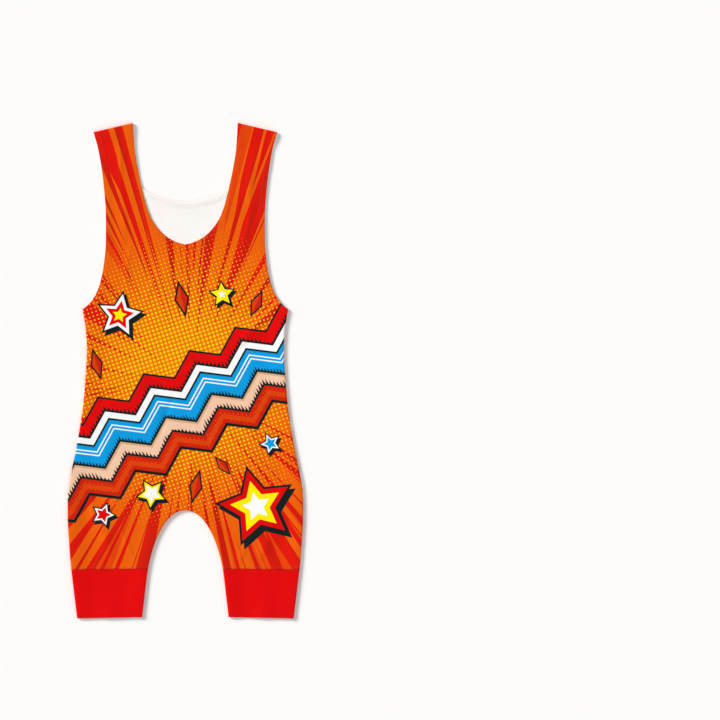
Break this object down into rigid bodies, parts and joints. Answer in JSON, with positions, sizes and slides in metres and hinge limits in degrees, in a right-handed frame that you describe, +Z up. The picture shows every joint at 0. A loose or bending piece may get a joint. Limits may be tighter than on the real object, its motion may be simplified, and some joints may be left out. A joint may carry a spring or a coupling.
{
  "type": "wrestling singlet",
  "caption": "Sleeveless one-piece wrestling singlet laid flat with its front up: scooped neck, wide straps, red cuffs on short legs and a red band across the back.",
  "frame": {"origin": "on the surface that the singlet lies on, under the middle of its bounding box", "axes": "+X towards the wearer's left, +Y from the leg hems to the straps, +Z up out of the front"},
  "size_m": [0.404, 0.85, 0.0049],
  "materials": {
    "printed_knit": "smooth stretch knit with a soft sheen, printed in oranges and reds",
    "red_knit": "smooth stretch knit with a soft sheen, plain red"
  },
  "bodies": {
    "root": {"front_body": "printed_knit", "front_cuff_left": "red_knit", "front_cuff_right": "red_knit", "back_yoke": "printed_knit", "back_band": "red_knit", "back_body": "printed_knit", "back_cuff_left": "red_knit", "back_cuff_right": "red_knit"}
  },
  "joints": []
}
